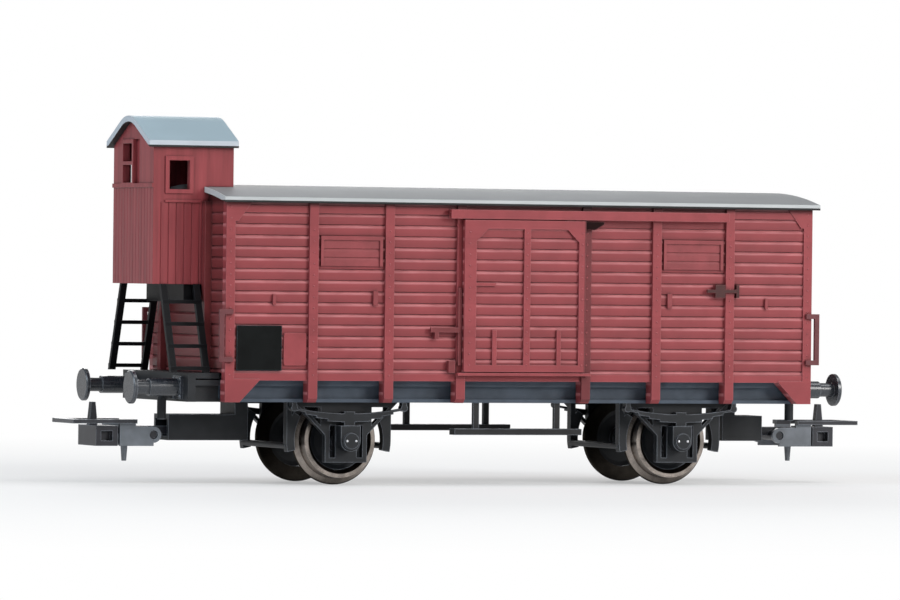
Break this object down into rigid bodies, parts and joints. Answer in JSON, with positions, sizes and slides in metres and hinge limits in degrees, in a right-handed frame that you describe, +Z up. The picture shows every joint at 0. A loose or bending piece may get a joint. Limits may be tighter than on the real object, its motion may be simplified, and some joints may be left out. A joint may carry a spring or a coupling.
{
  "type": "model railway boxcar",
  "caption": "Scale model of a covered goods wagon on flanged wheels, with sliding side doors, a brakeman's cab on ladders, buffers and swinging loop couplers.",
  "frame": {"origin": "midway between the headstocks, on the surface that the wheel flanges stand on", "axes": "+X along the wagon away from the cab, +Y to the far side, +Z up"},
  "size_m": [0.123, 0.034, 0.0524],
  "materials": {
    "body_red": "satin red-brown",
    "roof_grey": "matt grey",
    "cab_roof_grey": "satin blue-grey",
    "frame_black": "matt black",
    "buffer_black": "satin black",
    "ladder_black": "satin black",
    "wheel_metal": "turned metal",
    "coupler_grey": "smooth dark grey",
    "ballast_steel": "plain steel",
    "panel_black": "matt black"
  },
  "bodies": {
    "wagon": {"axle_boxes_cab_end": "frame_black", "axle_boxes_plain_end": "frame_black", "axle_guards_cab_end": "frame_black", "axle_guards_plain_end": "frame_black", "ballast_plate": "ballast_steel", "board_panel": "panel_black", "brake_shoes_cab_end": "frame_black", "brake_shoes_plain_end": "frame_black", "buffers_cab_end": "buffer_black", "buffers_plain_end": "buffer_black", "cab_bearer": "ladder_black", "cab_roof": "cab_roof_grey", "cab_shell": "body_red", "door_lock_far": "body_red", "door_lock_near": "body_red", "door_track_far": "body_red", "door_track_near": "body_red", "draft_box_cab_end": "frame_black", "draft_box_plain_end": "frame_black", "end_wall_cab_end": "body_red", "end_wall_plain_end": "body_red", "footboard_far": "frame_black", "footboard_near": "frame_black", "guide_rail_far": "body_red", "guide_rail_near": "body_red", "handrails_cab_end": "body_red", "handrails_plain_end": "body_red", "ladder_far": "ladder_black", "ladder_near": "ladder_black", "leaf_springs_cab_end": "frame_black", "leaf_springs_plain_end": "frame_black", "pipe_stub_cab_end": "frame_black", "pipe_stub_plain_end": "frame_black", "roof": "roof_grey", "side_wall_far": "body_red", "side_wall_near": "body_red", "underframe": "frame_black", "vent_fittings_far": "body_red", "vent_fittings_near": "body_red"},
    "wheelset_cab_end": {"axle_cab_end": "wheel_metal", "wheel_centres_cab_end": "frame_black", "wheel_tyres_cab_end": "wheel_metal"},
    "coupler_cab_end": {"coupler_cab_end": "coupler_grey"},
    "bail_cab_end": {"bail_cab_end": "coupler_grey"},
    "wheelset_plain_end": {"axle_plain_end": "wheel_metal", "wheel_centres_plain_end": "frame_black", "wheel_tyres_plain_end": "wheel_metal"},
    "coupler_plain_end": {"coupler_plain_end": "coupler_grey"},
    "bail_plain_end": {"bail_plain_end": "coupler_grey"},
    "door_near": {"door_near": "body_red", "door_roller_near": "frame_black"},
    "door_far": {"door_far": "body_red", "door_roller_far": "frame_black"}
  },
  "joints": [
    {"name": "wheels_cab_end", "type": "hinge", "parent": "wagon", "child": "wheelset_cab_end", "pos_m": [-0.023, 0, 0.0064], "axis": [0, 1, 0], "continuous": true},
    {"name": "wheels_plain_end", "type": "hinge", "parent": "wagon", "child": "wheelset_plain_end", "pos_m": [0.0287, 0, 0.0064], "axis": [0, 1, 0], "continuous": true},
    {"name": "door_slide_near", "type": "slide", "parent": "wagon", "child": "door_near", "axis": [1, 0, 0], "range_m": [0, 0.0185]},
    {"name": "door_slide_far", "type": "slide", "parent": "wagon", "child": "door_far", "axis": [-1, 0, 0], "range_m": [0, 0.0185]},
    {"name": "coupler_swing_cab_end", "type": "hinge", "parent": "wagon", "child": "coupler_cab_end", "pos_m": [-0.04305, 0, 0.0076], "axis": [0, 0, 1], "range_deg": [-12, 12]},
    {"name": "bail_lift_cab_end", "type": "hinge", "parent": "coupler_cab_end", "child": "bail_cab_end", "pos_m": [-0.04905, 0, 0.007], "axis": [0, 1, 0], "range_deg": [0, 15]},
    {"name": "coupler_swing_plain_end", "type": "hinge", "parent": "wagon", "child": "coupler_plain_end", "pos_m": [0.04305, 0, 0.0076], "axis": [0, 0, 1], "range_deg": [-12, 12]},
    {"name": "bail_lift_plain_end", "type": "hinge", "parent": "coupler_plain_end", "child": "bail_plain_end", "pos_m": [0.04905, 0, 0.007], "axis": [0, -1, 0], "range_deg": [0, 15]}
  ]
}
